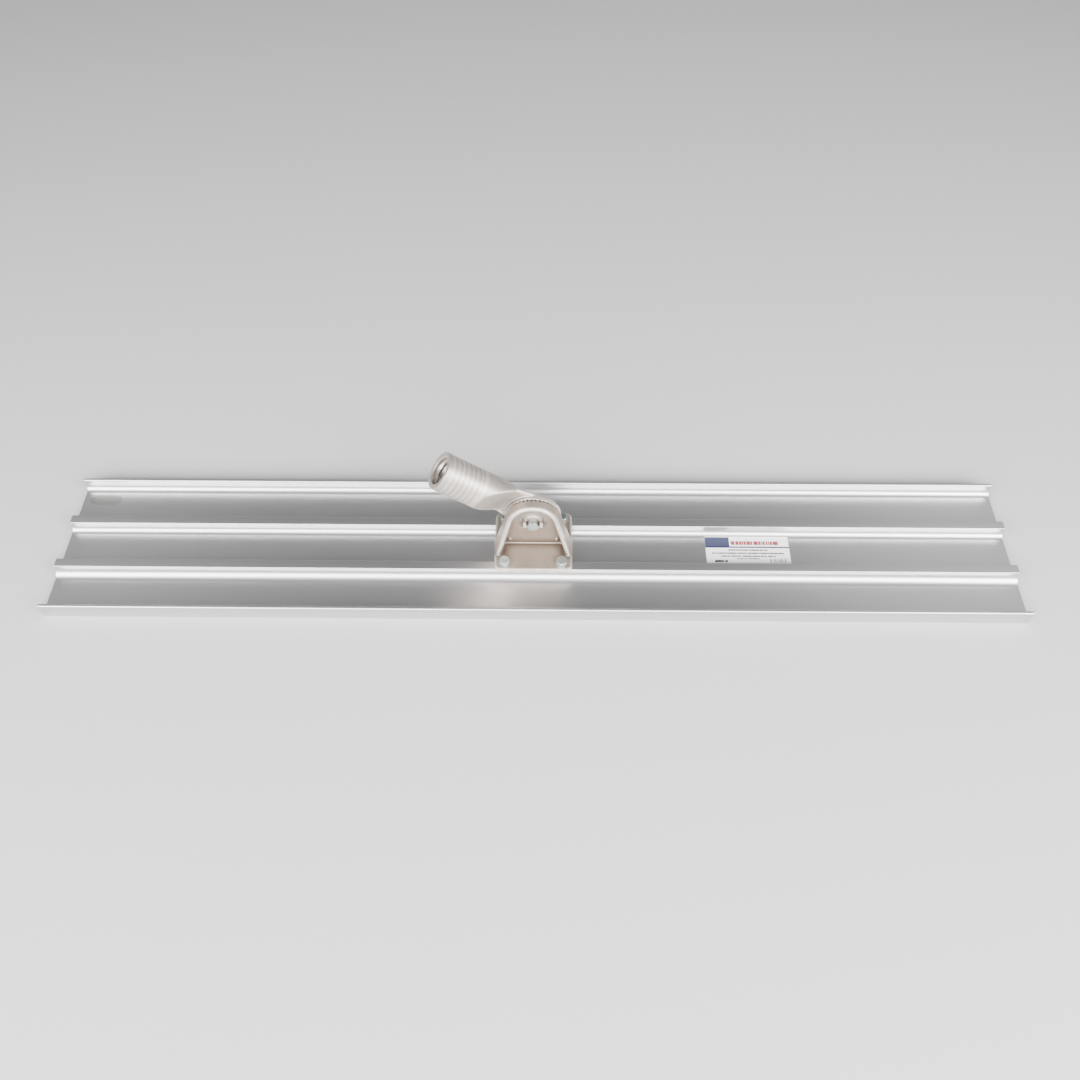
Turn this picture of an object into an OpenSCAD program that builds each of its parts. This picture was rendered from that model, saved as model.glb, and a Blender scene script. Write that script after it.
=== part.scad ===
// Bull float: an extruded blade with two ribs and two lips, a cast bracket bolted across the ribs,
// and a cast handle socket that tilts on a serrated joint. Millimetres.
// Origin: middle of the blade's underside. +X along the blade, +Y to its rear edge, +Z up.

/* [Blade] */
// Length of the blade
blade_length = 1219.2; // [600:0.1:1500]
// Width of the blade, over both lips
blade_width = 203.2; // [190:0.1:260]
// Thickness of the blade's floor
floor_thickness = 6.5; // [5:0.5:9]
// Height of the two edge lips above the underside
lip_height = 22.6; // [18:0.1:30]
// Thickness of a lip
lip_thickness = 4.8; // [4:0.1:8]
// Height of the two ribs above the underside
rib_height = 20.3; // [17:0.1:22]
// Thickness of a rib
rib_thickness = 12.4; // [12:0.1:16]
// Distance from the blade's middle line to the middle of a rib
rib_offset = 34.2; // [33:0.1:36]
// Radius of the fillets beside the ribs and inside the lips
trough_fillet = 9; // [4:0.5:10]
// Radius of the larger fillet in front of the front rib
front_fillet = 13; // [9:0.5:13]
// Radius of the lips' rounded top edges
lip_edge = 2; // [0.5:0.1:2.2]

/* [Bracket] */
// Place of the bracket's middle along the blade
bracket_x = -1.5; // [-200:0.5:200]
// Length of the bracket's flange, along the blade
flange_length = 98.6; // [96:0.1:110]
// Width of the bracket's flange, across the blade
flange_width = 89.6; // [88:0.1:96]
// Thickness of the flange
flange_thickness = 6.2; // [5:0.1:8]
// Corner radius of the flange
flange_corner = 8.5; // [4:0.5:10]
// Distance between the mounting bolts, along the blade
bolt_spacing_x = 72; // [70:0.5:76]
// Height of the tilt joint's axis above the blade's underside
pivot_height = 73.5; // [72:0.5:80]
// Radius of the ear's arch at its back
ear_radius = 34.5; // [34:0.1:36]
// Slope of the ear's rear sides from upright, in degrees
ear_side_slope = 15.2; // [13:0.1:15.4]
// Lean of the ear's front edge from upright, in degrees
ear_lean = 9.7; // [8:0.1:11]
// How far the front outline is drawn in from the back one, for the casting's draft
ear_draft = 2.3; // [1:0.1:3]
// Thickness of the ear's rim at its front edge
ear_rim = 4.2; // [4:0.1:6]

/* [Handle socket] */
// Outer diameter of the socket's tube
tube_diameter = 47.5; // [46:0.5:50]
// Distance from the tilt axis to the socket's mouth
socket_length = 138; // [130:1:160]
// Diameter of the threaded hole for the handle, at the thread's roots
handle_bore = 35; // [32:0.1:36]
// Depth of the threaded hole
handle_depth = 54; // [40:1:54]
// Height of the socket's axis above level, with the part at rest, in degrees
rest_angle = 37.5; // [0:0.5:80]
// Number of teeth on each serrated face
teeth = 42; // [36:1:48]

/* [Hidden] */

$fn = 96;
over = 1;               // how far a cutting shape runs past the face it cuts
skin = 0.01;            // thickness of the thin outlines that a hull joins

cast_colour = "#b8aea6";
blade_colour = "#b9bbbf";
zinc_colour = "#a9b3b0";

// Blade
lip_inner = blade_width / 2 - lip_thickness;
rib_inner = rib_offset - rib_thickness / 2;
rib_outer = rib_offset + rib_thickness / 2;

// Mounting bolts: 5/16 inch, hexagon head, in blind tapped holes in the ribs
mount_r = 7.94 / 2;
mount_head_af = 12.7;
mount_head_h = 5.3;
mount_length = 19;
mount_clearance_r = 4.2;
tapped_r = 4;
tapped_bottom = 8;
spotface_r = 8.2;
spotface_depth = 0.4;
lock_washer_r = 7.45;
lock_washer_h = 2;
head_turns = [8, -4, 21, -13];

// Bracket
flange_top = rib_height + flange_thickness;
bolt_seat = flange_top - spotface_depth;
ear_back_y = 2.8;       // plane of the ear's tooth tips
web_front_y = -3.2;     // front of the ear's web
front_y = -15;          // front edge of the ear at the pivot's height
pivot_rise = pivot_height - flange_top;
foot_half = (ear_radius + pivot_rise * sin(ear_side_slope)) / cos(ear_side_slope);
front_rise = pivot_rise * tan(ear_lean);
seat_y = -7.6;          // seat of the pivot bolt's head
boss_foot_r = 15.5;
boss_top_r = 11.5;
lug_gap = 16.6;
lug_width = 4;
lug_depth = 4.8;
lug_low = -3;
lug_high = 7;
bump_x = 30;
bump_rise = 8;
bump_r = 3;
bump_taper = 0.6;
bump_height = 2;
pocket_arch_draft = 3.4;    // how far the pocket is drawn in from its front to the web, round the arch
pocket_foot_draft = 5.3;    // and along the foot
foot_rim = 1;               // how much thicker the rim is at its foot

// Tilt joint
joint_gap = 0.3;        // from tooth tip to tooth tip
tooth_depth = 0.9;
tooth_groove = 3;       // width of a groove at the tooth tips
tooth_inner_r = 24;
first_groove = 1.7;     // where the ear's grooves start, in degrees
relief_depth = 1.1;
disc_thickness = 6.2;
pivot_r = 9.525 / 2;
pivot_hole_r = pivot_r + 0.08;

// Handle socket
tube_r = tube_diameter / 2;
joint_y = ear_back_y + joint_gap;
tube_y = 4.4;           // from the joint's plane to the tube's axis
hub_r = 32;             // the hub, behind the serrated disc
hub_back = 11.4;        // from the joint's plane to the hub's flat back
hub_blend = 44;         // where the hub's outline has narrowed to the tube's width
facet_slope = 30;
facet_start = 44.3;     // where the front facet crosses the plane of the tube's axis
rear_flat_end = 34.5;   // where the flat back ends, towards the mouth
mouth_chamfer = 1.6;
bore_tip = 5;

// Pivot bolt: 3/8 inch, hexagon head
pivot_af = 14.29;
pivot_head_h = 5.95;
pivot_length = 34.9;
washer_r = 10.3;
washer_hole_r = 5.2;
washer_h = 1.6;
pivot_lock_r = 8.65;
pivot_lock_hole_r = 4.95;
pivot_lock_h = 2.4;
nut_h = 8.33;
nut_seat_y = joint_y + hub_back;

// Label
label_length = 108;
label_width = 37.6;
label_thickness = 0.2;
label_x = 275.5;

// A hexagon prism with chamfered corners on its outer face, its foot at z = 0
module hex_head(across_flats, height, both = false) {
    corner_r = across_flats / 2 / cos(30);
    chamfer = 1.1;
    cone_h = height - chamfer + corner_r * tan(30);
    intersection() {
        cylinder(r = corner_r, h = height, $fn = 6);
        cylinder(r1 = cone_h / tan(30), r2 = 0, h = cone_h);
        if (both)
            translate([0, 0, height - cone_h]) cylinder(r1 = 0, r2 = cone_h / tan(30), h = cone_h);
    }
}

// A hexagon bolt, its head above z = 0 and its shank below
module hex_bolt(across_flats, head_h, shank_r, shank_length) {
    tip = shank_r * 0.2;
    hex_head(across_flats, head_h);
    translate([0, 0, -shank_length + tip]) cylinder(r = shank_r, h = shank_length - tip);
    translate([0, 0, -shank_length]) cylinder(r1 = shank_r - tip, r2 = shank_r, h = tip);
}

// A split spring washer
module split_washer(outer_r, inner_r, height) {
    split = 1.4;
    difference() {
        cylinder(r = outer_r, h = height);
        translate([0, 0, -over]) cylinder(r = inner_r, h = height + 2 * over);
        translate([0, -split / 2, -over]) rotate([0, 0, 12]) cube([outer_r + over, split, height + 2 * over]);
    }
}

// Turns a shape that stands on z = 0 so that it stands forwards, along -Y
module facing_front() {
    rotate([90, 0, 0]) children();
}

// Turns a shape that stands on z = 0 so that it stands backwards, along +Y
module facing_rear() {
    rotate([-90, 0, 0]) children();
}

// A trough's cross-section, with both lower corners rounded
module trough(from_y, to_y, rear_fillet = trough_fillet) {
    translate([from_y, floor_thickness + trough_fillet])
        square([to_y - from_y - rear_fillet, lip_height]);
    translate([from_y + trough_fillet, floor_thickness + rear_fillet])
        square([to_y - from_y - trough_fillet, lip_height]);
    translate([from_y + trough_fillet, floor_thickness])
        square([to_y - from_y - trough_fillet - rear_fillet, lip_height]);
    translate([from_y + trough_fillet, floor_thickness + trough_fillet]) circle(trough_fillet);
    translate([to_y - rear_fillet, floor_thickness + rear_fillet]) circle(rear_fillet);
}

// The metal outside a lip's two rounded top edges, which starts at y
module lip_rounding(y) {
    for (side = [0, 1])
        translate([y + side * lip_thickness, lip_height]) mirror([side, 0]) difference() {
            translate([-over, -lip_edge]) square([over + lip_edge, lip_edge + over]);
            translate([lip_edge, -lip_edge]) circle(lip_edge);
        }
}

module blade_profile() {
    difference() {
        translate([-blade_width / 2, 0]) square([blade_width, lip_height]);
        translate([-lip_inner, rib_height]) square([2 * lip_inner, lip_height]);
        trough(-lip_inner, -rib_outer, front_fillet);
        trough(-rib_inner, rib_inner);
        trough(rib_outer, lip_inner);
        lip_rounding(-blade_width / 2);
        lip_rounding(lip_inner);
    }
}

// Places a child at each mounting bolt: 0 and 1 at the front, 2 and 3 at the rear
module at_mounting_bolt(i) {
    side = i % 2 == 0 ? -1 : 1;
    row = i < 2 ? -1 : 1;
    translate([bracket_x + side * bolt_spacing_x / 2, row * rib_offset, 0]) children();
}

module blade() {
    color(blade_colour)
    difference() {
        translate([-blade_length / 2, 0, 0])
            rotate([90, 0, 90]) linear_extrude(blade_length) blade_profile();
        for (i = [0:3])
            at_mounting_bolt(i) translate([0, 0, tapped_bottom]) cylinder(r = tapped_r, h = rib_height);
    }
}

module rounded_plate(length, width, corner, height) {
    linear_extrude(height) {
        square([length - 2 * corner, width], center = true);
        square([length, width - 2 * corner], center = true);
        for (x = [-1, 1], y = [-1, 1])
            translate([x * (length / 2 - corner), y * (width / 2 - corner)]) circle(corner);
    }
}

// A thin upright arch outline: a round top on the pivot's axis and a straight foot
module arch_outline(radius, half_foot, drop) {
    rotate([90, 0, 0]) cylinder(r = radius, h = skin, $fn = 48);
    translate([-half_foot, -skin, -drop]) cube([2 * half_foot, skin, skin]);
}

// The ear's outer body, from its back plane to its leaning front edge
module ear_block() {
    sink = 2;
    hull() {
        translate([0, ear_back_y, 0])
            arch_outline(ear_radius, foot_half + sink * tan(ear_side_slope), pivot_rise + sink);
        translate([0, front_y, 0]) rotate([-ear_lean, 0, 0])
            arch_outline(ear_radius - ear_draft, foot_half - ear_draft / 2,
                         (pivot_rise + sink) / cos(ear_lean));
    }
}

// The pocket in the ear's front, open forwards and down to the flange's top
module ear_pocket() {
    past_front = 3;
    back_r = ear_radius - ear_rim - pocket_arch_draft;
    front_r = ear_radius - ear_draft - ear_rim;
    back_foot = foot_half - ear_rim - foot_rim - pocket_foot_draft;
    front_foot = foot_half - ear_draft / 2 - ear_rim - foot_rim;
    hull() {
        translate([0, web_front_y, 0]) arch_outline(back_r, back_foot, pivot_rise);
        translate([0, front_y - past_front, 0]) rotate([-ear_lean, 0, 0])
            arch_outline(front_r, front_foot, pivot_rise / cos(ear_lean));
        translate([-front_foot, front_y - front_rise - 2 * past_front, -pivot_rise])
            cube([2 * front_foot, skin, skin]);
    }
}

// Grooves that radiate over a face at y = 0, cut by depth on both sides of it
module serrations(outer_r, turn) {
    for (i = [0:teeth - 1])
        rotate([0, turn + i * 360 / teeth, 0])
            translate([tooth_inner_r - over, 0, 0]) rotate([90, 0, 90])
                linear_extrude(outer_r - tooth_inner_r + 2 * over)
                    polygon([[-tooth_groove / 2, 0], [0, -tooth_depth], [tooth_groove / 2, 0], [0, tooth_depth]]);
}

module ear_details() {
    translate([0, web_front_y + over, 0]) facing_front()
        cylinder(r1 = boss_foot_r + over, r2 = boss_top_r, h = web_front_y - seat_y + over);
    for (side = [-1, 1]) {
        translate([side * (lug_gap + lug_width) / 2 - lug_width / 2, seat_y - lug_depth, lug_low])
            cube([lug_width, web_front_y + over - seat_y + lug_depth, lug_high - lug_low]);
        translate([side * bump_x, web_front_y + over, bump_rise - pivot_rise])
            facing_front() cylinder(r1 = bump_r + bump_taper, r2 = bump_r - bump_taper, h = bump_height + over);
    }
}

module bracket_base() {
    color(cast_colour)
    difference() {
        union() {
            translate([bracket_x, 0, rib_height])
                rounded_plate(flange_length, flange_width, flange_corner, flange_thickness);
            translate([bracket_x, 0, pivot_height]) {
                difference() {
                    ear_block();
                    ear_pocket();
                }
                ear_details();
            }
        }
        translate([bracket_x, 0, pivot_height]) {
            translate([0, ear_back_y, 0]) {
                serrations(ear_radius, first_groove);
                facing_front() translate([0, 0, -over]) cylinder(r = tooth_inner_r, h = relief_depth + over);
                facing_front() translate([0, 0, -over]) cylinder(r = pivot_hole_r, h = pivot_length);
            }
        }
        for (i = [0:3])
            at_mounting_bolt(i) {
                translate([0, 0, rib_height - over]) cylinder(r = mount_clearance_r, h = 2 * flange_thickness);
                translate([0, 0, bolt_seat]) cylinder(r = spotface_r, h = flange_thickness);
            }
    }
}

// The metal taken off the tube's front, down to the serrated disc's rear face
module front_facet() {
    run = 1 / tan(facet_slope);
    reach = 40;
    translate([0, 0, -reach]) linear_extrude(2 * reach)
        polygon([
            [-facet_start + (disc_thickness - tube_y) * run, disc_thickness], [reach, disc_thickness],
            [reach, -reach], [-facet_start - (reach + tube_y) * run, -reach]
        ]);
}

// The metal taken off the tube's rear, down to the hub's flat back
module rear_facet() {
    run = 1 / tan(facet_slope);
    reach = 40;
    translate([0, 0, -reach]) linear_extrude(2 * reach)
        polygon([
            [-rear_flat_end, hub_back], [reach, hub_back],
            [reach, reach], [-rear_flat_end - (reach - hub_back) * run, reach]
        ]);
}

// The hub's outline: a circle about the pivot and two tangents that run into the tube's sides
module hub_outline() {
    tangent = atan2(tube_r, hub_blend) + acos(hub_r / norm([hub_blend, tube_r]));
    circle(hub_r);
    polygon([
        [-hub_blend, tube_r], [-hub_r * cos(tangent), hub_r * sin(tangent)],
        [-hub_r * cos(tangent), -hub_r * sin(tangent)], [-hub_blend, -tube_r]
    ]);
}

// The socket with its tube level along -X, the joint's plane at y = 0 and the pivot at the origin
module level_socket() {
    bore_r = handle_bore / 2;
    difference() {
        union() {
            difference() {
                translate([0, tube_y, 0]) rotate([0, -90, 0]) cylinder(r = tube_r, h = socket_length);
                front_facet();
            }
            translate([0, disc_thickness, 0]) facing_rear()
                linear_extrude(hub_back - disc_thickness) hub_outline();
            facing_rear() cylinder(r = ear_radius, h = disc_thickness);
        }
        rear_facet();
        serrations(ear_radius, first_groove + 180 / teeth - rest_angle);
        facing_rear() translate([0, 0, -over]) cylinder(r = tooth_inner_r, h = relief_depth + over);
        facing_rear() translate([0, 0, -over]) cylinder(r = pivot_hole_r, h = pivot_length);
        translate([-socket_length, tube_y, 0]) rotate([0, 90, 0]) {
            translate([0, 0, -over]) cylinder(r = bore_r, h = handle_depth + over);
            translate([0, 0, handle_depth]) cylinder(r1 = bore_r, r2 = 1, h = bore_tip);
            translate([0, 0, -over])
                cylinder(r1 = bore_r + mouth_chamfer + over, r2 = bore_r, h = mouth_chamfer + over);
        }
    }
}

module handle_socket() {
    color(cast_colour)
    translate([bracket_x, joint_y, pivot_height]) rotate([0, rest_angle, 0]) level_socket();
}

module mounting_bolt(i) {
    color(zinc_colour)
    at_mounting_bolt(i) translate([0, 0, bolt_seat + lock_washer_h]) rotate([0, 0, 30 + head_turns[i]])
        hex_bolt(mount_head_af, mount_head_h, mount_r, mount_length);
}

module lock_washer(i) {
    color(zinc_colour)
    at_mounting_bolt(i) translate([0, 0, bolt_seat]) rotate([0, 0, 50 + 70 * i])
        split_washer(lock_washer_r, mount_r + 0.1, lock_washer_h);
}

module pivot_bolt() {
    color(zinc_colour)
    translate([bracket_x, seat_y, pivot_height]) facing_front()
        hex_bolt(pivot_af, pivot_head_h, pivot_r, pivot_length);
}

module pivot_washer() {
    color(zinc_colour)
    translate([bracket_x, nut_seat_y, pivot_height]) facing_rear() difference() {
        cylinder(r = washer_r, h = washer_h);
        translate([0, 0, -over]) cylinder(r = washer_hole_r, h = washer_h + 2 * over);
    }
}

module pivot_lock_washer() {
    color(zinc_colour)
    translate([bracket_x, nut_seat_y + washer_h, pivot_height]) facing_rear() rotate([0, 0, 130])
        split_washer(pivot_lock_r, pivot_lock_hole_r, pivot_lock_h);
}

module pivot_nut() {
    color(zinc_colour)
    translate([bracket_x, nut_seat_y + washer_h + pivot_lock_h, pivot_height]) facing_rear() difference() {
        rotate([0, 0, 17]) hex_head(pivot_af, nut_h, both = true);
        translate([0, 0, -over]) cylinder(r = pivot_r + 0.05, h = nut_h + 2 * over);
    }
}

module label() {
    color("white")
    translate([label_x - label_length / 2, -label_width / 2, floor_thickness])
        cube([label_length, label_width, label_thickness]);
}

blade();
bracket_base();
handle_socket();
mounting_bolt(0);  // mounting_bolt_front_left
mounting_bolt(1);  // mounting_bolt_front_right
mounting_bolt(2);  // mounting_bolt_rear_left
mounting_bolt(3);  // mounting_bolt_rear_right
lock_washer(0);  // lock_washer_front_left
lock_washer(1);  // lock_washer_front_right
lock_washer(2);  // lock_washer_rear_left
lock_washer(3);  // lock_washer_rear_right
pivot_bolt();
pivot_washer();
pivot_lock_washer();
pivot_nut();
label();
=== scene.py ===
import math

import bpy
import numpy as np
import openvdb
from mathutils import Matrix, Vector


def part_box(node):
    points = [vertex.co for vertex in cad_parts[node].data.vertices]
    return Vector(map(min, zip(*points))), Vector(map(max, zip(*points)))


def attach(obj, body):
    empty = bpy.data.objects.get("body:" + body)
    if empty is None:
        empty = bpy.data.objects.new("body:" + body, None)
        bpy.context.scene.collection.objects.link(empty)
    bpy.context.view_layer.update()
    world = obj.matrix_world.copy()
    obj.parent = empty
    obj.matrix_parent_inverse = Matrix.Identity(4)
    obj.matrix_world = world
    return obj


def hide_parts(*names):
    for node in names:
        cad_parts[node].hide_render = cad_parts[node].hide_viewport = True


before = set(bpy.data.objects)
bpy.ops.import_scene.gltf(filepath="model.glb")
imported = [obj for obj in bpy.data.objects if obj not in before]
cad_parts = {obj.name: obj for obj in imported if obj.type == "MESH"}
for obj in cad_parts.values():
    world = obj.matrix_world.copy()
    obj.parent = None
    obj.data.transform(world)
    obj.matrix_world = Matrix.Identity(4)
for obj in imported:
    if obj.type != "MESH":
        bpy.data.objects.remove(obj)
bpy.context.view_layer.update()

MM = 0.001

# ---------------------------------------------------------------- sizes, in millimetres, row frame

# Blade: its outline comes from its CAD box, its section from these
blade_low, blade_high = [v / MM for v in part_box("blade")]
HALF_LENGTH = blade_high.x
HALF_WIDTH = blade_high.y
LIP_HEIGHT = blade_high.z
FLOOR = 6.5
LIP = 4.8
RIB_HEIGHT = 20.3
RIB = 12.4
RIB_OFFSET = 34.2
TROUGH_FILLET = 9.0
FRONT_FILLET = 13.0
LIP_EDGE = 2.0
RIB_EDGE = 0.8
TAPPED_R = 4.0
TAPPED_BOTTOM = 8.0

CASTING_VOXEL = 0.7

# Bracket
bracket_low, bracket_high = [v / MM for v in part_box("bracket_base")]
BRACKET_X = (bracket_low.x + bracket_high.x) / 2
FLANGE_HALF = (bracket_high.x - bracket_low.x) / 2
FLANGE_HALF_WIDTH = bracket_high.y
FLANGE_THICKNESS = 6.2
FLANGE_TOP = RIB_HEIGHT + FLANGE_THICKNESS
FLANGE_CORNER = 8.5
EAR_RADIUS = 34.5
PIVOT_Z = bracket_high.z - EAR_RADIUS
EAR_BACK = 2.8
EAR_FRONT = -15.0
EAR_LEAN = math.radians(9.7)
EAR_SLOPE = math.radians(15.2)
EAR_DRAFT = 2.3
RIM = 4.2
WEB_FRONT = -3.2
SEAT = -7.6
BOSS_R = 11.5
BOSS_SPREAD = 4 / 4.4
LUG_X = 10.3
LUG_FRONT = SEAT - 4.8
BUMP_X = 30.0
BUMP_RISE = 8.0
BUMP_R = 3.25
BUMP_SUNK = 1.25
BOLT_X = 36.0
BOLT_Y = RIB_OFFSET
SPOT_R = 8.2
SPOT_FLOOR = FLANGE_TOP - 0.4

# Tilt joint
TEETH = 42
FIRST_GROOVE = math.radians(1.7)
TOOTH_DEPTH = 1.5
TOOTH_HALF = 1.6
TOOTH_INNER_R = 24.0
RELIEF = 1.1
JOINT_Y = EAR_BACK + 0.3
PIVOT_HOLE_R = 4.84

# Handle socket, in its own frame: tube along -x, joint's plane at y = 0, pivot at the origin
REST_ANGLE = math.radians(37.5)
TUBE_R = 23.75
TUBE_Y = 4.4
SOCKET_LENGTH = 138.0
DISC = 6.2
HUB_R = 32.0
HUB_BACK = 11.4
HUB_BLEND = 44.0
FACET_START = 44.3
FACET_SLOPE = math.radians(30)
REAR_FLAT_END = 34.5
BORE_R = 17.5
ROOT_R = 18.0
BORE_DEPTH = 54.0
BORE_TIP = 5.0
LEAD_IN = 3.4
THREAD_PITCH = 6.6
THREAD_START = 0.566
THREAD_DEPTH = 2.2

# Fasteners
MOUNT_R = 3.97
MOUNT_AF = 12.7
MOUNT_HEAD = 5.3
MOUNT_LENGTH = 19.0
LOCK_R = 7.45
LOCK_H = 2.0
HEAD_TURNS = {"front_left": 8, "front_right": -4, "rear_left": 21, "rear_right": -13}
PIVOT_R = 4.76
MOUNT_THREADED = 14      # length of thread on a mounting bolt
MOUNT_PITCH = 1.41       # 5/16 in, 18 to the inch
PIVOT_THREADED = 25
PIVOT_PITCH = 1.59       # 3/8 in, 16 to the inch
PIVOT_AF = 14.29
PIVOT_HEAD = 5.95
PIVOT_LENGTH = 34.9
WASHER_R = 10.3
WASHER_H = 1.6
PIVOT_LOCK_R = 8.65
PIVOT_LOCK_H = 2.4
NUT_H = 8.33

# Label
label_low, label_high = [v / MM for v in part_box("label")]
LABEL_FRONT = -19.0
LABEL_REAR = 22.0
LABEL_THICKNESS = 0.16


# ---------------------------------------------------------------- distance fields

def joined(a, b, radius):
    """The union of two shapes, with a fillet where they meet."""
    reach = np.hypot(np.maximum(radius - a, 0), np.maximum(radius - b, 0))
    return np.maximum(radius, np.minimum(a, b)) - reach


def common(a, b, radius):
    """What two shapes share, with a rounded edge where they meet."""
    reach = np.hypot(np.maximum(radius + a, 0), np.maximum(radius + b, 0))
    return np.minimum(-radius, np.maximum(a, b)) + reach


def without(a, b, radius):
    """The first shape less the second, with a rounded edge."""
    return common(a, -b, radius)


def rectangle(x, y, half_x, half_y, corner):
    dx = np.abs(x) - half_x + corner
    dy = np.abs(y) - half_y + corner
    return np.hypot(np.maximum(dx, 0), np.maximum(dy, 0)) + np.minimum(np.maximum(dx, dy), 0) - corner


def arch(x, z, radius, slope):
    """An upright arch: a round top about the pivot and straight sides that spread by slope."""
    side = np.abs(x) * np.cos(slope) + z * np.sin(slope) - radius
    above = z * np.cos(slope) - np.abs(x) * np.sin(slope)
    return np.where(above > 0, np.hypot(x, z) - radius, side)


def hexagon(x, y, across_flats):
    """A hexagon prism's side, with corners on the x axis."""
    faces = [np.abs(x * math.sin(a) + y * math.cos(a)) for a in (0, math.pi / 3, -math.pi / 3)]
    return np.maximum(np.maximum(faces[0], faces[1]), faces[2]) - across_flats / 2


def groove_depth(x, z, turn):
    """How deep the radial grooves of a toothed face are at a point about the pivot."""
    pitch = 2 * math.pi / TEETH
    rho = np.hypot(x, z)
    angle = np.arctan2(-z, x) - turn
    off = np.abs((angle / pitch + 0.5) % 1 - 0.5) * pitch * rho
    teeth = np.maximum(TOOTH_DEPTH * (1 - off / TOOTH_HALF), 0)
    return np.where(rho < TOOTH_INNER_R, RELIEF, np.where(rho < EAR_RADIUS + 1, teeth, 0))


def bracket_field(px, py, pz):
    x = px - BRACKET_X
    z = pz - PIVOT_Z
    plate = common(rectangle(x, py, FLANGE_HALF, FLANGE_HALF_WIDTH, FLANGE_CORNER),
                   np.abs(pz - RIB_HEIGHT - FLANGE_THICKNESS / 2) - FLANGE_THICKNESS / 2, 1.8)

    # The ear: an arch drawn in towards its leaning front edge
    front_y = EAR_FRONT + z * math.tan(EAR_LEAN)
    draw = np.clip((EAR_BACK - py) / (EAR_BACK - front_y), 0, 1)
    outside = arch(x, z, EAR_RADIUS - EAR_DRAFT * draw, EAR_SLOPE)
    ear = common(outside, (front_y - py) * math.cos(EAR_LEAN), 2.0)
    back = (py - EAR_BACK + groove_depth(x, z, FIRST_GROOVE)) * 0.85
    ear = common(ear, back, 0.25)
    pocket_draw = np.clip((WEB_FRONT - py) / (WEB_FRONT - front_y), 0, 1)
    inside = arch(x, z, EAR_RADIUS - RIM - 3.4 + 1.1 * pocket_draw, np.radians(12.5 + 3 * pocket_draw))
    ear = without(ear, common(inside, py - WEB_FRONT, 3.5), 1.5)
    ear = np.maximum(ear, RIB_HEIGHT + 2 - pz)
    body = joined(ear, plate, 2.2)

    # The boss, its two lugs and the bumps
    rho = np.hypot(x, z)
    boss = (rho - BOSS_R - (py - SEAT) * BOSS_SPREAD) * 0.74
    boss = common(boss, SEAT - py, 0.8)
    body = joined(body, np.maximum(boss, py), 3.0)
    lug = rectangle(np.abs(x) - LUG_X, z - 2, 2, 5, 0.7)
    lug = common(lug, np.maximum(LUG_FRONT - py, py - WEB_FRONT - 1), 0.7)
    body = joined(body, lug, 1.0)
    bump = np.sqrt((np.abs(x) - BUMP_X) ** 2 + (py - WEB_FRONT - BUMP_SUNK) ** 2
                   + (pz - FLANGE_TOP - BUMP_RISE) ** 2) - BUMP_R
    body = joined(body, bump, 0.6)

    # Holes and the bolts' spotfaces
    body = np.maximum(body, PIVOT_HOLE_R - rho)
    from_bolt = np.hypot(np.abs(x) - BOLT_X, np.abs(py) - BOLT_Y)
    body = without(body, common(from_bolt - SPOT_R, SPOT_FLOOR - pz, 0.5), 0.4)
    return without(body, from_bolt - 4.2, 0.4)


def socket_field(x, y, z):
    u = -x
    q = y - TUBE_Y
    from_axis = np.hypot(q, z)
    rho = np.hypot(x, z)
    tube = common(np.maximum(from_axis - TUBE_R, -u), u - SOCKET_LENGTH, 0.7)

    # The front facet, the hub's flat back and the slope up to it
    facet = (FACET_START - u) * math.sin(FACET_SLOPE) - q * math.cos(FACET_SLOPE)
    tube = common(tube, joined(facet, DISC - y, 3.0), 0.9)
    slope = (y - HUB_BACK) * math.cos(FACET_SLOPE) - (u - REAR_FLAT_END) * math.sin(FACET_SLOPE)
    tube = common(tube, joined(y - HUB_BACK, slope, 2.5), 1.6)

    # The hub: a circle about the pivot and two tangents that run into the tube's sides
    across = np.abs(z)
    lean = math.pi / 2 - math.atan2(TUBE_R, HUB_BLEND) - math.acos(HUB_R / math.hypot(HUB_BLEND, TUBE_R))
    beyond = u * math.cos(lean) - across * math.sin(lean)
    hub = np.where(beyond > 0, u * math.sin(lean) + across * math.cos(lean), rho) - HUB_R
    hub = common(common(hub, DISC - y, 1.0), y - HUB_BACK, 2.8)
    tube = np.minimum(tube, np.maximum(hub, u - HUB_BLEND - 16))

    # The toothed disc
    disc = common(rho - EAR_RADIUS, np.abs(y - DISC / 2) - DISC / 2, 0.9)
    turn = FIRST_GROOVE - REST_ANGLE
    disc = common(disc, (groove_depth(x, z, turn) - y) * 0.85, 0.25)
    body = joined(tube, disc, 1.6)

    # The bolt's hole and the handle's thread, behind a short plain lead-in
    body = np.maximum(body, PIVOT_HOLE_R - rho)
    depth = SOCKET_LENGTH - u
    wave = 0.5 + 0.5 * np.cos(2 * math.pi * (u / THREAD_PITCH - THREAD_START) - np.arctan2(-z, q))
    wave = np.clip(1.5 * wave - 0.25, 0, 1)
    present = np.clip((depth - LEAD_IN) / 2, 0, 1) * np.clip((BORE_DEPTH - 3 - depth) / 4, 0, 1)
    land = (ROOT_R - BORE_R + 0.2) * np.clip((LEAD_IN + 0.6 - depth) / 0.8, 0, 1)
    wall = ROOT_R - land - THREAD_DEPTH * wave * present + np.maximum(0.7 - depth, 0)
    bore = np.maximum((from_axis - wall) * 0.85,
                      SOCKET_LENGTH - BORE_DEPTH - BORE_TIP + BORE_TIP * from_axis / BORE_R - u)
    return without(body, bore, 0.6)


def thread_cut(rho, x, y, z, radius, pitch, depth):
    """A screw's outside: a ridge that winds round a shank."""
    phase = (z / pitch - np.arctan2(y, x) / (2 * math.pi)) % 1
    return (rho - radius + depth * np.abs(2 * phase - 1)) * 0.8


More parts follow.
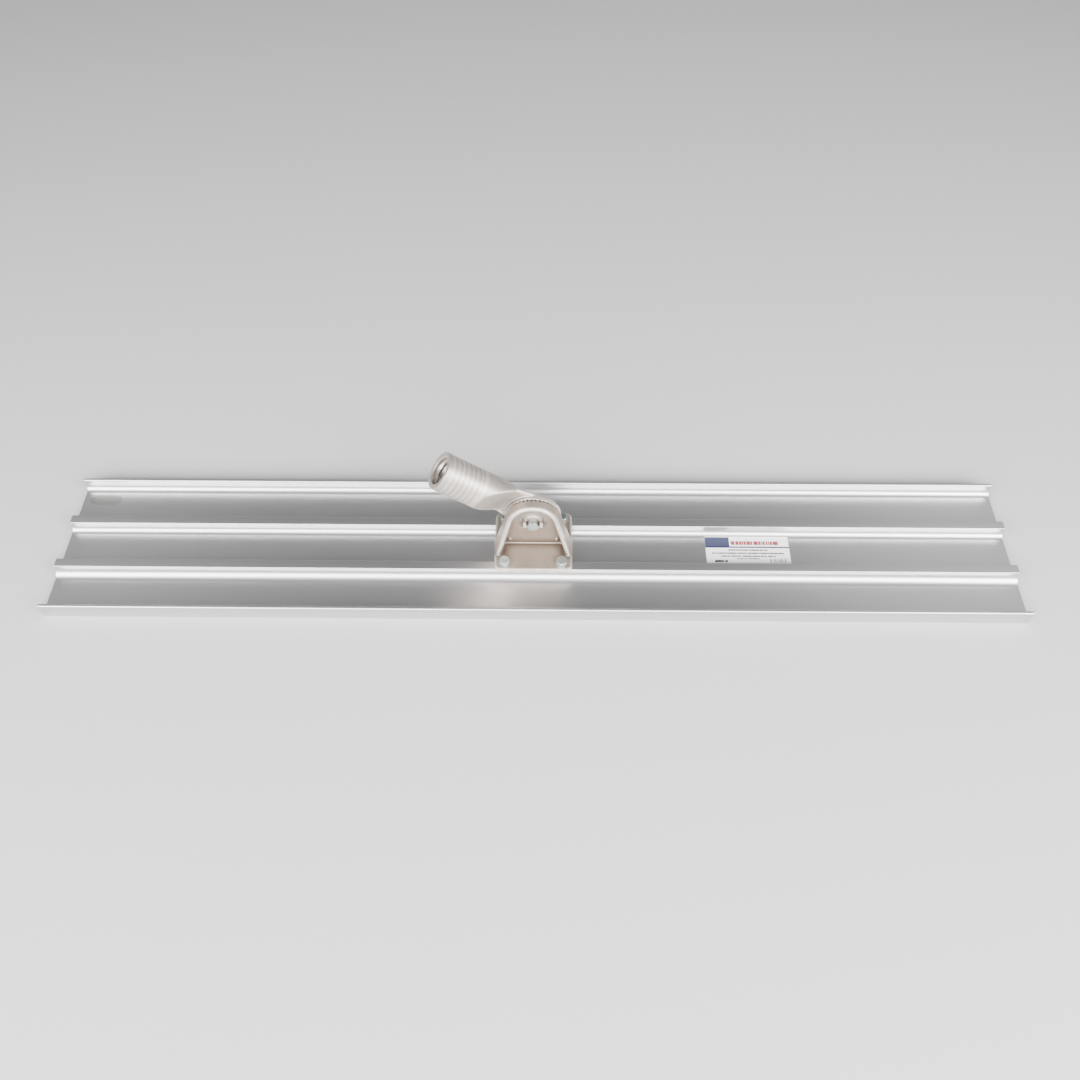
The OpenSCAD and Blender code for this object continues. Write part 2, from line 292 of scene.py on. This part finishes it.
def bolt_field(x, y, z, across_flats, head, radius, length, threaded, pitch):
    """A hexagon bolt that stands on z = 0, head up, with a shallow dish in the head's top."""
    rho = np.hypot(x, y)
    crown = (z - head + (rho - across_flats / 2 + 0.5) * math.tan(math.radians(30))) * 0.87
    dish = np.sqrt(rho ** 2 + (z - head - 19.6) ** 2) - 20
    side = common(hexagon(x, y, across_flats), -z, 0.2)
    body = common(common(side, crown, 0.25), z - head, 0.2)
    body = without(body, dish, 0.5)
    screw = thread_cut(rho, x, y, z, radius, pitch, 0.61 * pitch)
    shank = np.where(z < threaded - length, screw, rho - radius)
    shank = np.maximum(shank, (rho - radius - z - length + 0.8) * 0.7)
    shank = np.maximum(np.maximum(shank, -z - length), z - 1)
    return np.minimum(body, shank)


def nut_field(x, y, z):
    """A hexagon nut that stands on z = 0."""
    rho = np.hypot(x, y)
    from_middle = np.abs(z - NUT_H / 2)
    crown = (from_middle - NUT_H / 2 + (rho - PIVOT_AF / 2 + 0.3) * math.tan(math.radians(30))) * 0.87
    body = common(hexagon(x, y, PIVOT_AF), crown, 0.25)
    body = common(body, from_middle - NUT_H / 2, 0.2)
    hole = np.minimum(rho - PIVOT_R - 0.1, (rho - PIVOT_R - 0.8 + NUT_H / 2 - from_middle) * 0.7)
    return without(body, hole, 0.15)


def lock_washer_field(x, y, z, outer, inner, height):
    """A split spring washer: its two ends stand a little apart in height."""
    rho = np.hypot(x, y)
    lift = 0.12 * height * (np.arctan2(y, x) / math.pi)
    ring = common(np.abs(rho - (outer + inner) / 2) - (outer - inner) / 2,
                  np.abs(z - height / 2 + lift) - 0.44 * height, 0.25)
    gap = np.maximum(np.abs(y * math.cos(0.3) - x * math.sin(0.3)) - 0.7, x)
    return without(ring, gap, 0.2)


def washer_field(x, y, z):
    rho = np.hypot(x, y)
    middle = (WASHER_R + 5.2) / 2
    return common(np.abs(rho - middle) - (WASHER_R - 5.2) / 2, np.abs(z - WASHER_H / 2) - WASHER_H / 2, 0.3)


# ---------------------------------------------------------------- meshes

def new_object(name, verts, faces):
    mesh = bpy.data.meshes.new(name)
    mesh.from_pydata([tuple(v) for v in verts], [], [tuple(f) for f in faces])
    mesh.validate()
    mesh.update()
    obj = bpy.data.objects.new(name, mesh)
    bpy.context.scene.collection.objects.link(obj)
    return obj


def surface_of(field, low, high, voxel):
    """Points and faces of the surface where a field is zero, in millimetres."""
    axes = [np.arange(a - 2 * voxel, b + 3 * voxel, voxel, dtype=np.float32) for a, b in zip(low, high)]
    x, y, z = np.meshgrid(*axes, indexing="ij")
    values = field(x, y, z).astype(np.float32)
    grid = openvdb.FloatGrid(3 * voxel)
    grid.copyFromArray(np.clip(values, -3 * voxel, 3 * voxel))
    points, triangles, quads = grid.convertToPolygons(isovalue=0.0, adaptivity=0.0)
    points = np.array(points, np.float64) * voxel + [a[0] for a in axes]
    for _ in range(2):
        points = settle(field, points, voxel)
    return points, [list(t) for t in triangles] + [list(q) for q in quads]


def slope_of(field, points):
    step = 0.05
    slope = []
    for axis in range(3):
        ahead, behind = points.copy(), points.copy()
        ahead[:, axis] += step
        behind[:, axis] -= step
        slope.append((field(*ahead.T) - field(*behind.T)) / (2 * step))
    return np.array(slope).T


def settle(field, points, voxel):
    """Moves each point onto the field's surface, by a small step along its slope."""
    value = field(*points.T)
    slope = slope_of(field, points)
    size = np.maximum((slope ** 2).sum(1), 0.25)
    move = -(value / size)[:, None] * slope
    length = np.linalg.norm(move, axis=1, keepdims=True)
    return points + move * np.minimum(1, 0.4 * voxel / np.maximum(length, 1e-9))


def mark_painted_shade_and_highlight(piece, field, points, painted_highlight):
    """Stores, for painted shade, how shut in each point of a surface is and, for a painted highlight where
    one may go, how far it stands out.

    The edge probe reaches 3 mm in, so it also answers on thin walls. Known fault: the thread's roots
    behind the socket's wall show on the outside of its tube as pale rings.
    """
    normal = slope_of(field, points)
    normal /= np.maximum(np.linalg.norm(normal, axis=1, keepdims=True), 0.1)
    shut = np.zeros(len(points))
    for reach, share in ((1.5, 0.25), (4.0, 0.35), (10.0, 0.4), (20.0, 0.45)):
        shut += share * np.clip(1 - field(*(points + normal * reach).T) / reach, 0, 1)
    # Painted shade: the material darkens the colour the more shut in a point is.
    mark(piece, "painted_occlusion_shade", shut)
    # Painted highlight: the material pales the colour on edges that stand out.
    mark(piece, "edge", painted_highlight * np.clip(1 + field(*(points - normal * 3).T) / 3, 0, 1))


def mark(piece, name, values):
    layer = piece.data.attributes.new(name, "FLOAT", "POINT")
    layer.data.foreach_set("value", values.astype(np.float32))


def piece_from(name, shape, place=Matrix.Identity(4)):
    """An object from points and faces in millimetres, put in its place, with smooth shading."""
    points, faces = shape
    obj = new_object(name, points * MM, faces)
    obj.data.transform(place)
    if signed_volume(obj.data) < 0:
        obj.data.flip_normals()
    obj.data.shade_smooth()
    obj.data.set_sharp_from_angle(angle=math.radians(50))
    return obj


def signed_volume(mesh):
    mesh.calc_loop_triangles()
    total = 0.0
    co = np.empty(len(mesh.vertices) * 3)
    mesh.vertices.foreach_get("co", co)
    co = co.reshape(-1, 3)
    tri = np.empty(len(mesh.loop_triangles) * 3, np.int32)
    mesh.loop_triangles.foreach_get("vertices", tri)
    a, b, c = (co[tri.reshape(-1, 3)[:, i]] for i in range(3))
    total = (a * np.cross(b, c)).sum() / 6
    return total


def moved(x, y, z):
    return Matrix.Translation((x * MM, y * MM, z * MM))


def turned(degrees, axis):
    return Matrix.Rotation(math.radians(degrees), 4, axis)


def facing_rear():
    """Turns a piece that stands on z = 0 so that it stands backwards, along +Y."""
    return turned(-90, "X")


def facing_front():
    return turned(90, "X")


# ---------------------------------------------------------------- blade

def arc(centre, radius, start, end, steps):
    """Points on an arc in the section's plane; angles in degrees from +Y towards +Z."""
    angles = [math.radians(start + (end - start) * i / steps) for i in range(steps + 1)]
    return [(centre[0] + radius * math.cos(a), centre[1] + radius * math.sin(a)) for a in angles]


def wall_top(front, rear, height, edge):
    """The rounded top of a lip or a rib, from its front face to its rear one."""
    z = height - edge
    return arc((front + edge, z), edge, 180, 90, 8) + arc((rear - edge, z), edge, 90, 0, 8)


def channel(front, rear, fillet=TROUGH_FILLET):
    """The rounded floor of a channel, from its front wall to its rear one."""
    return (arc((front + TROUGH_FILLET, FLOOR + TROUGH_FILLET), TROUGH_FILLET, 180, 270, 18)
            + arc((rear - fillet, FLOOR + fillet), fillet, 270, 360, 22))


def blade_section():
    """The blade's section as points (y, z), from the front foot, over the top, to the rear foot."""
    lip = HALF_WIDTH - LIP
    rib_in, rib_out = RIB_OFFSET - RIB / 2, RIB_OFFSET + RIB / 2
    foot = 0.5
    return (arc((-HALF_WIDTH + foot, foot), foot, 270, 180, 4)
            + wall_top(-HALF_WIDTH, -lip, LIP_HEIGHT, LIP_EDGE) + channel(-lip, -rib_out, FRONT_FILLET)
            + wall_top(-rib_out, -rib_in, RIB_HEIGHT, RIB_EDGE) + channel(-rib_in, rib_in)
            + wall_top(rib_in, rib_out, RIB_HEIGHT, RIB_EDGE) + channel(rib_out, lip)
            + wall_top(lip, HALF_WIDTH, LIP_HEIGHT, LIP_EDGE)
            + arc((HALF_WIDTH - foot, foot), foot, 0, -90, 4))


def inset(section, distance):
    """The section moved inwards, for the small chamfer round each sawn end."""
    pts = np.array(section)
    before = pts - np.roll(pts, 1, 0)
    after = np.roll(pts, -1, 0) - pts
    normal = np.zeros_like(pts)
    for edge in (before, after):
        unit = edge / np.maximum(np.linalg.norm(edge, axis=1, keepdims=True), 1e-9)
        normal += np.stack([unit[:, 1], -unit[:, 0]], 1)
    normal /= np.linalg.norm(normal, axis=1, keepdims=True)
    return pts + normal * distance


def make_blade():
    section = blade_section()
    small = inset(section, 0.3)
    end = HALF_LENGTH
    rings = [(-end, small), (-end + 0.3, np.array(section)), (end - 0.3, np.array(section)), (end, small)]
    verts = [(x * MM, y * MM, z * MM) for x, ring in rings for y, z in ring]
    n = len(section)
    faces = [[k * n + i, k * n + (i + 1) % n, (k + 1) * n + (i + 1) % n, (k + 1) * n + i]
             for k in range(len(rings) - 1) for i in range(n)]
    faces += [list(range(n))[::-1], [3 * n + i for i in range(n)]]
    blade = new_object("blade_extrusion", verts, faces)
    if signed_volume(blade.data) < 0:
        blade.data.flip_normals()
    drill_ribs(blade)
    blade.data.shade_smooth()
    blade.data.set_sharp_from_angle(angle=math.radians(25))
    return blade


def drill_ribs(blade):
    """Cuts the four tapped holes under the bracket's bolts."""
    for sx in (-1, 1):
        for sy in (-1, 1):
            ring = [(BRACKET_X + sx * BOLT_X + TAPPED_R * math.cos(a), sy * BOLT_Y + TAPPED_R * math.sin(a))
                    for a in np.linspace(0, 2 * math.pi, 32, endpoint=False)]
            verts = [(x * MM, y * MM, z * MM) for z in (TAPPED_BOTTOM, RIB_HEIGHT + 5) for x, y in ring]
            faces = [[i, (i + 1) % 32, 32 + (i + 1) % 32, 32 + i] for i in range(32)]
            drill = new_object("drill", verts, faces + [list(range(32))[::-1], list(range(32, 64))])
            cut = blade.modifiers.new("hole", "BOOLEAN")
            cut.operation = "DIFFERENCE"
            cut.solver = "EXACT"
            cut.object = drill
            apply_modifiers(blade)
            bpy.data.objects.remove(drill)


def apply_modifiers(obj):
    shape = obj.evaluated_get(bpy.context.evaluated_depsgraph_get())
    mesh = bpy.data.meshes.new_from_object(shape)
    obj.modifiers.clear()
    obj.data = mesh


# ---------------------------------------------------------------- label

def label_height(y):
    """The channel's floor under the label, with the start of its rear fillet."""
    start = RIB_OFFSET - RIB / 2 - TROUGH_FILLET
    over = max(abs(y) - start, 0)
    return FLOOR + TROUGH_FILLET - math.sqrt(TROUGH_FILLET ** 2 - over ** 2)


def make_label():
    steps = 24
    ys = [LABEL_FRONT + (LABEL_REAR - LABEL_FRONT) * i / steps for i in range(steps + 1)]
    xs = [label_low.x, label_low.x + 0.4, label_high.x - 0.4, label_high.x]
    verts, faces = [], []
    for up in (0.02, LABEL_THICKNESS):
        for y in ys:
            verts += [(x * MM, y * MM, (label_height(y) + up) * MM) for x in xs]
    wide, layer = len(xs), len(xs) * len(ys)
    for j in range(steps):
        for i in range(wide - 1):
            a = j * wide + i
            faces.append([a, a + wide, a + wide + 1, a + 1])
            faces.append([layer + a, layer + a + 1, layer + a + wide + 1, layer + a + wide])
    rim = ([i for i in range(wide)] + [j * wide + wide - 1 for j in range(1, steps + 1)]
           + [steps * wide + i for i in range(wide - 2, -1, -1)]
           + [j * wide for j in range(steps - 1, 0, -1)])
    faces += [[a, b, b + layer, a + layer] for a, b in zip(rim, rim[1:] + rim[:1])]
    label = new_object("label_sheet", verts, faces)
    uv = label.data.uv_layers.new(name="print")
    for loop in label.data.loops:
        co = label.data.vertices[loop.vertex_index].co / MM
        uv.data[loop.index].uv = ((co.x - label_low.x) / (label_high.x - label_low.x),
                                  (co.y - LABEL_FRONT) / (LABEL_REAR - LABEL_FRONT))
    if signed_volume(label.data) < 0:
        label.data.flip_normals()
    label.data.shade_smooth()
    label.data.set_sharp_from_angle(angle=math.radians(40))
    return label


# ---------------------------------------------------------------- materials

class Nodes:
    """Short ways to add nodes to a material."""

    def __init__(self, name):
        self.material = bpy.data.materials.new(name)
        self.material.use_nodes = True
        self.tree = self.material.node_tree
        self.shader = self.tree.nodes["Principled BSDF"]

    def add(self, kind, inputs=None, **settings):
        node = self.tree.nodes.new(kind)
        for key, value in settings.items():
            setattr(node, key, value)
        for key, value in (inputs or {}).items():
            self.put(node.inputs[key], value)
        return node

    def put(self, socket, value):
        if isinstance(value, bpy.types.NodeSocket):
            self.tree.links.new(value, socket)
        else:
            socket.default_value = value

    def math(self, operation, a, b=0.0, c=0.0, clamp=False):
        node = self.add("ShaderNodeMath", {0: a, 1: b, 2: c}, operation=operation, use_clamp=clamp)
        return node.outputs[0]

    def point(self, scale=(1, 1, 1), place=(0, 0, 0)):
        """The point on the object, in metres times scale."""
        source = self.add("ShaderNodeTexCoord").outputs["Object"]
        node = self.add("ShaderNodeMapping", {"Vector": source, "Location": place, "Scale": scale})
        return node.outputs[0]

    def noise(self, vector, scale, detail=3.0, roughness=0.5):
        node = self.add("ShaderNodeTexNoise", {"Vector": vector, "Scale": scale, "Detail": detail,
                                               "Roughness": roughness})
        return node.outputs["Fac"]

    def span(self, value, low, high, to_low=0.0, to_high=1.0):
        node = self.add("ShaderNodeMapRange", {"Value": value, "From Min": low, "From Max": high,
                                               "To Min": to_low, "To Max": to_high})
        return node.outputs[0]

    def mix(self, factor, a, b, blend="MIX"):
        node = self.add("ShaderNodeMix", data_type="RGBA", blend_type=blend)
        for socket, value in ((node.inputs[0], factor), (node.inputs[6], a), (node.inputs[7], b)):
            self.put(socket, value)
        return node.outputs[2]

    def bump(self, height, strength, distance, normal=None):
        node = self.add("ShaderNodeBump", {"Height": height, "Strength": strength, "Distance": distance})
        if normal is not None:
            self.put(node.inputs["Normal"], normal)
        return node.outputs[0]

    def finish(self, **inputs):
        for key, value in inputs.items():
            self.put(self.shader.inputs[key.replace("_", " ")], value)
        return self.material


def colour(r, g, b):
    return (r, g, b, 1.0)


def blade_material():
    """Satin extruded metal, with faint streaks along the blade and a dull smudge in the rear channel."""
    m = Nodes("extruded_metal")
    streaks = m.noise(m.point((0.6, 90, 90)), 9.0, 4.0, 0.65)
    clouds = m.noise(m.point((0.5, 2.0, 2.0)), 7.0, 3.0)
    fine = m.noise(m.point((6, 900, 900)), 3.0, 2.0)
    spot = m.add("ShaderNodeSeparateXYZ", {0: m.point()})
    along = m.math("DIVIDE", m.math("ADD", spot.outputs[0], 0.579), 0.022)
    across = m.math("DIVIDE", m.math("SUBTRACT", spot.outputs[1], 0.0765), 0.0085)
    squared = m.math("ADD", m.math("POWER", m.math("ABSOLUTE", along), 4.0), m.math("POWER", across, 2.0))
    wobble = m.math("MULTIPLY_ADD", m.noise(m.point(), 160.0), 0.9, -0.45)
    smudge = m.span(m.math("ADD", squared, wobble), 1.25, 0.7)
    tone = m.span(m.math("MULTIPLY_ADD", streaks, 0.6, m.math("MULTIPLY", clouds, 0.4)), 0.3, 0.7)
    base = m.mix(tone, colour(0.66, 0.65, 0.66), colour(0.69, 0.68, 0.69))
    base = m.mix(m.math("MULTIPLY", smudge, 0.7), base, colour(0.33, 0.33, 0.31))
    rough = m.math("ADD", m.span(streaks, 0.3, 0.7, 0.352, 0.368), m.math("MULTIPLY", smudge, 0.1))
    normal = m.bump(fine, 0.02, 0.0002)
    return m.finish(Base_Color=base, Metallic=1.0, Roughness=rough, Normal=normal)


def casting_material(name, dark, light, painted_shade_colour):
    """Blasted sand casting: warm grey and finely pitted, with painted shade in its corners and in the
    joint's seam, and a painted highlight on its edges.
    """
    m = Nodes(name)
    point = m.point()
    place = m.add("ShaderNodeSeparateXYZ", {0: point}).outputs
    # Painted shade in the grooves of the joint's seam between the two castings, stronger towards the left.
    from_joint = m.math("ABSOLUTE", m.math("SUBTRACT", place[1], JOINT_Y * MM))
    east = m.math("POWER", m.math("SUBTRACT", place[0], BRACKET_X * MM), 2.0)
    up = m.math("POWER", m.math("SUBTRACT", place[2], PIVOT_Z * MM), 2.0)
    from_pivot = m.math("SQRT", m.math("ADD", east, up))
    seam = m.math("MULTIPLY", m.span(from_joint, 0.0021, 0.0017), m.span(from_pivot, 0.0344, 0.0340))
    # Painted shade: the colour is darkened towards the painted shade colour where the surface is shut in.
    shut = m.add("ShaderNodeAttribute", attribute_name="painted_occlusion_shade").outputs["Fac"]
    shade = m.math("MULTIPLY", m.span(shut, 0.14, 0.75), 0.75)
    # The seam's painted shade joins the painted shade of shut-in corners.
    shade = m.math("MAXIMUM", shade, m.math("MULTIPLY", seam, m.span(place[0], 0.022, 0.006, 0.4, 0.85)))
    machined = m.add("ShaderNodeAttribute", attribute_name="machined").outputs["Fac"]
    grain = m.noise(point, 900.0, 3.0, 0.6)
    pits = m.noise(point, 300.0, 4.0, 0.6)
    waves = m.noise(point, 60.0, 3.0)
    patches = m.noise(point, 28.0, 4.0, 0.6)
    tone = m.span(m.math("MULTIPLY_ADD", patches, 0.6, m.math("MULTIPLY", pits, 0.4)), 0.32, 0.68)
    edge = m.add("ShaderNodeAttribute", attribute_name="edge").outputs["Fac"]
    # Painted highlight: edges that stand out are painted paler.
    painted_highlight = m.math("MULTIPLY", m.span(edge, 0.06, 0.28), m.span(pits, 0.3, 0.7, 0.55, 0.85))
    base = m.mix(machined, m.mix(tone, dark, light), colour(0.74, 0.71, 0.68))
    base = m.mix(painted_highlight, base, colour(0.88, 0.81, 0.75))
    base = m.mix(shade, base, painted_shade_colour)
    rough = m.math("SUBTRACT", m.span(grain, 0.3, 0.7, 0.40, 0.50), m.math("MULTIPLY", machined, 0.12))
    height = m.math("MULTIPLY_ADD", pits, 0.7, m.math("MULTIPLY", grain, 0.3))
    normal = m.bump(waves, 0.25, 0.0008)
    normal = m.bump(height, 0.35, 0.0004, normal)
    metallic = m.math("MULTIPLY_ADD", machined, 0.25, 0.75)
    return m.finish(Base_Color=base, Metallic=metallic, Roughness=rough, Normal=normal)


def zinc_material():
    """Bright zinc plate, with faint cloudiness."""
    m = Nodes("zinc_plate")
    point = m.point()
    clouds = m.noise(point, 350.0, 3.0)
    scratches = m.noise(point, 1500.0, 2.0)
    base = m.mix(m.span(clouds, 0.3, 0.7), colour(0.38, 0.44, 0.42), colour(0.54, 0.61, 0.59))
    rough = m.span(clouds, 0.3, 0.7, 0.40, 0.50)
    return m.finish(Base_Color=base, Metallic=1.0, Roughness=rough, Normal=m.bump(scratches, 0.12, 0.0002))


def label_material():
    """A printed label of plain blocks and bars."""
    m = Nodes("label_print")
    uv = m.add("ShaderNodeSeparateXYZ", {0: m.add("ShaderNodeTexCoord").outputs["UV"]})
    x, up = uv.outputs[0], uv.outputs[1]
    down = m.math("SUBTRACT", 1.0, up)

    def inside(value, low, high):
        return m.math("MULTIPLY", m.math("GREATER_THAN", value, low), m.math("LESS_THAN", value, high))

    def block(left, right, top, bottom):
        return m.math("MULTIPLY", inside(x, left, right), inside(down, top, bottom))

    def words(left, right, top, bottom, seed):
        """A line of print, drawn as bars of uneven length."""
        place = m.add("ShaderNodeCombineXYZ", {0: m.math("MULTIPLY", x, 60.0), 1: seed})
        broken = m.math("GREATER_THAN", m.noise(place.outputs[0], 1.0, 2.0), 0.43)
        return m.math("MULTIPLY", block(left, right, top, bottom), broken)

    def bars(left, right, top, bottom):
        place = m.add("ShaderNodeCombineXYZ", {0: m.math("MULTIPLY", x, 150.0)})
        return m.math("MULTIPLY", block(left, right, top, bottom),
                      m.math("GREATER_THAN", m.noise(place.outputs[0], 1.0, 0.0), 0.5))

    blue, red, ink = colour(0.0, 0.005, 0.055), colour(0.24, 0.0, 0.003), colour(0.012, 0.014, 0.022)
    base = m.mix(m.noise(m.point(), 200.0), colour(0.90, 0.89, 0.90), colour(0.93, 0.92, 0.93))
    parts = [(block(0.0, 0.29, 0.02, 0.39), blue), (block(0.0, 1.0, 0.37, 0.425), blue),
             (words(0.31, 0.88, 0.17, 0.31, 3.0), red),
             (words(0.27, 0.74, 0.485, 0.535, 7.0), ink), (words(0.07, 0.93, 0.605, 0.655, 11.0), ink),
             (words(0.18, 0.83, 0.715, 0.765, 15.0), ink), (words(0.36, 0.63, 0.815, 0.855, 19.0), ink),
             (words(0.09, 0.25, 0.885, 0.975, 23.0), ink), (bars(0.75, 0.95, 0.83, 0.99), ink)]
    for mask, ink_colour in parts:
        base = m.mix(m.math("MULTIPLY", mask, 0.95), base, ink_colour)
    return m.finish(Base_Color=base, Roughness=0.42, Specular_IOR_Level=0.35)


def stage_material(name, tone):
    m = Nodes(name)
    paler = tone + 0.01
    base = m.mix(m.noise(m.point(), 6.0), colour(tone, tone, tone), colour(paler, paler, paler))
    return m.finish(Base_Color=base, Roughness=0.85)


# ---------------------------------------------------------------- build

def dress(piece, material, body, slot, *nodes):
    piece.data.materials.clear()
    piece.data.materials.append(material)
    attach(piece, body)
    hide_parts(*nodes)


def build_castings():
    low = (BRACKET_X - FLANGE_HALF, -FLANGE_HALF_WIDTH, RIB_HEIGHT)
    high = (BRACKET_X + FLANGE_HALF, FLANGE_HALF_WIDTH, PIVOT_Z + EAR_RADIUS)
    shape = surface_of(bracket_field, low, high, CASTING_VOXEL)
    bracket = piece_from("bracket_casting", shape)
    x, y, z = shape[0].T
    # Painted shade everywhere, and a painted highlight on edges in front of the web and on the flange.
    mark_painted_shade_and_highlight(bracket, bracket_field, shape[0], (y < WEB_FRONT - 2.5) | (z < FLANGE_TOP + 1))
    # The third colour is the painted shade's colour.
    material = casting_material("bracket_metal", colour(0.31, 0.25, 0.205), colour(0.43, 0.365, 0.31),
                                colour(0.10, 0.072, 0.052))
    dress(bracket, material, "float", "casting", "bracket_base")

    low = (-SOCKET_LENGTH, TUBE_Y - TUBE_R, -EAR_RADIUS)
    high = (EAR_RADIUS, TUBE_Y + TUBE_R, EAR_RADIUS)
    place = moved(BRACKET_X, JOINT_Y, PIVOT_Z) @ Matrix.Rotation(REST_ANGLE, 4, "Y")
    shape = surface_of(socket_field, low, high, CASTING_VOXEL)
    socket = piece_from("socket_casting", shape, place)
    x, y, z = shape[0].T
    depth = SOCKET_LENGTH + x
    # Painted shade everywhere, and a painted highlight on edges away from the mouth's rim.
    mark_painted_shade_and_highlight(socket, socket_field, shape[0], depth > 4)
    inside = np.hypot(y - TUBE_Y, z) < ROOT_R + 0.6
    thread = inside & (depth > LEAD_IN + 0.4) & (depth < BORE_DEPTH + BORE_TIP)
    mark(socket, "machined", thread)
    # The third colour is the painted shade's colour.
    material = casting_material("socket_metal", colour(0.42, 0.365, 0.325), colour(0.60, 0.54, 0.49),
                                colour(0.12, 0.095, 0.08))
    dress(socket, material, "socket", "casting", "handle_socket")


def build_fasteners(material):
    reach = MOUNT_AF / 2 + 1.2
    bolt = surface_of(lambda x, y, z: bolt_field(x, y, z, MOUNT_AF, MOUNT_HEAD, MOUNT_R, MOUNT_LENGTH,
                                                 MOUNT_THREADED, MOUNT_PITCH),
                      (-reach, -reach, -MOUNT_LENGTH), (reach, reach, MOUNT_HEAD), 0.3)
    ring = surface_of(lambda x, y, z: lock_washer_field(x, y, z, LOCK_R, MOUNT_R + 0.1, LOCK_H),
                      (-LOCK_R, -LOCK_R, -0.2), (LOCK_R, LOCK_R, LOCK_H + 0.2), 0.3)
    for i, (corner, turn) in enumerate(HEAD_TURNS.items()):
        x = BRACKET_X + (-BOLT_X if corner.endswith("left") else BOLT_X)
        y = -BOLT_Y if corner.startswith("front") else BOLT_Y
        washer = piece_from("lock_washer_" + corner + "_piece", ring,
                            moved(x, y, SPOT_FLOOR) @ turned(50 + 70 * i, "Z"))
        dress(washer, material, "float", "fastener", "lock_washer_" + corner)
        head = piece_from("mounting_bolt_" + corner + "_piece", bolt,
                          moved(x, y, SPOT_FLOOR + LOCK_H) @ turned(30 + turn, "Z"))
        dress(head, material, "float", "fastener", "mounting_bolt_" + corner)

    reach = PIVOT_AF / 2 + 1.4
    shape = surface_of(lambda x, y, z: bolt_field(x, y, z, PIVOT_AF, PIVOT_HEAD, PIVOT_R, PIVOT_LENGTH,
                                                  PIVOT_THREADED, PIVOT_PITCH),
                       (-reach, -reach, -PIVOT_LENGTH), (reach, reach, PIVOT_HEAD), 0.32)
    piece = piece_from("pivot_bolt_piece", shape, moved(BRACKET_X, SEAT, PIVOT_Z) @ facing_front())
    dress(piece, material, "float", "fastener", "pivot_bolt")
    y = JOINT_Y + HUB_BACK
    shape = surface_of(washer_field, (-WASHER_R, -WASHER_R, 0), (WASHER_R, WASHER_R, WASHER_H), 0.35)
    piece = piece_from("pivot_washer_piece", shape, moved(BRACKET_X, y, PIVOT_Z) @ facing_rear())
    dress(piece, material, "float", "fastener", "pivot_washer")
    y += WASHER_H
    reach = PIVOT_LOCK_R
    shape = surface_of(lambda a, b, c: lock_washer_field(a, b, c, PIVOT_LOCK_R, 4.95, PIVOT_LOCK_H),
                       (-reach, -reach, -0.2), (reach, reach, PIVOT_LOCK_H + 0.2), 0.3)
    place = moved(BRACKET_X, y, PIVOT_Z) @ facing_rear() @ turned(130, "Z")
    piece = piece_from("pivot_lock_washer_piece", shape, place)
    dress(piece, material, "float", "fastener", "pivot_lock_washer")
    y += PIVOT_LOCK_H
    reach = PIVOT_AF / 2 + 1.4
    shape = surface_of(nut_field, (-reach, -reach, 0), (reach, reach, NUT_H), 0.3)
    place = moved(BRACKET_X, y, PIVOT_Z) @ facing_rear() @ turned(17, "Z")
    dress(piece_from("pivot_nut_piece", shape, place), material, "float", "fastener", "pivot_nut")


# ---------------------------------------------------------------- stage, lights and camera

def add_floor():
    size = 6.0
    corners = [(-size, -size, 0), (size, -size, 0), (size, size, 0), (-size, size, 0)]
    floor = new_object("floor", corners, [(0, 1, 2, 3)])
    floor.data.materials.append(stage_material("floor_paint", 0.52))


def add_light(name, place, target, size, power):
    data = bpy.data.lights.new(name, "AREA")
    data.shape = "RECTANGLE"
    data.size, data.size_y = size
    data.energy = power
    light = bpy.data.objects.new(name, data)
    bpy.context.scene.collection.objects.link(light)
    light.location = place
    light.rotation_euler = (Vector(target) - Vector(place)).to_track_quat("-Z", "Y").to_euler()


def add_world(strength):
    world = bpy.data.worlds.new("world")
    bpy.context.scene.world = world
    world.use_nodes = True
    world.node_tree.nodes["Background"].inputs[0].default_value = colour(0.80, 0.80, 0.80)
    world.node_tree.nodes["Background"].inputs[1].default_value = strength


# Where the camera stands, in metres, and how it is turned, in degrees
CAMERA_PLACE = (0.0194555, -0.694218, 1.012428)
CAMERA_DOWN = 54.808
CAMERA_YAW = 1.038
CAMERA_ROLL = -0.4655
CAMERA_LENS = 31.406


def add_camera():
    data = bpy.data.cameras.new("camera")
    data.lens = CAMERA_LENS
    data.sensor_width = 36.0
    data.clip_end = 20.0
    camera = bpy.data.objects.new("camera", data)
    bpy.context.scene.collection.objects.link(camera)
    turn = turned(CAMERA_YAW, "Z") @ turned(90 - CAMERA_DOWN, "X") @ turned(CAMERA_ROLL, "Z")
    camera.matrix_world = Matrix.Translation(CAMERA_PLACE) @ turn
    bpy.context.scene.camera = camera


add_camera()
add_floor()
add_light("front_box", (0, -1.9, 1.4), (0, 0, 0), (3.0, 1.3), 165)
add_light("left_box", (-1.7, -1.2, 1.3), (0, 0, 0), (1.2, 1.2), 75)
add_light("right_box", (1.7, -1.2, 1.3), (0, 0, 0), (1.2, 1.2), 95)
add_light("top_box", (0, -0.7, 2.2), (0, 0, 0), (2.5, 0.8), 5)
add_light("back_left", (-1.75, 0.9, 1.6), (-0.4, 0, 0), (1.1, 1.1), 1.6)
add_light("back_right", (1.6, 0.9, 1.6), (0.4, 0, 0), (1.4, 1.2), 4.5)
add_world(0.32)

dress(make_blade(), blade_material(), "float", "blade", "blade")
build_castings()
build_fasteners(zinc_material())
dress(make_label(), label_material(), "float", "label", "label")
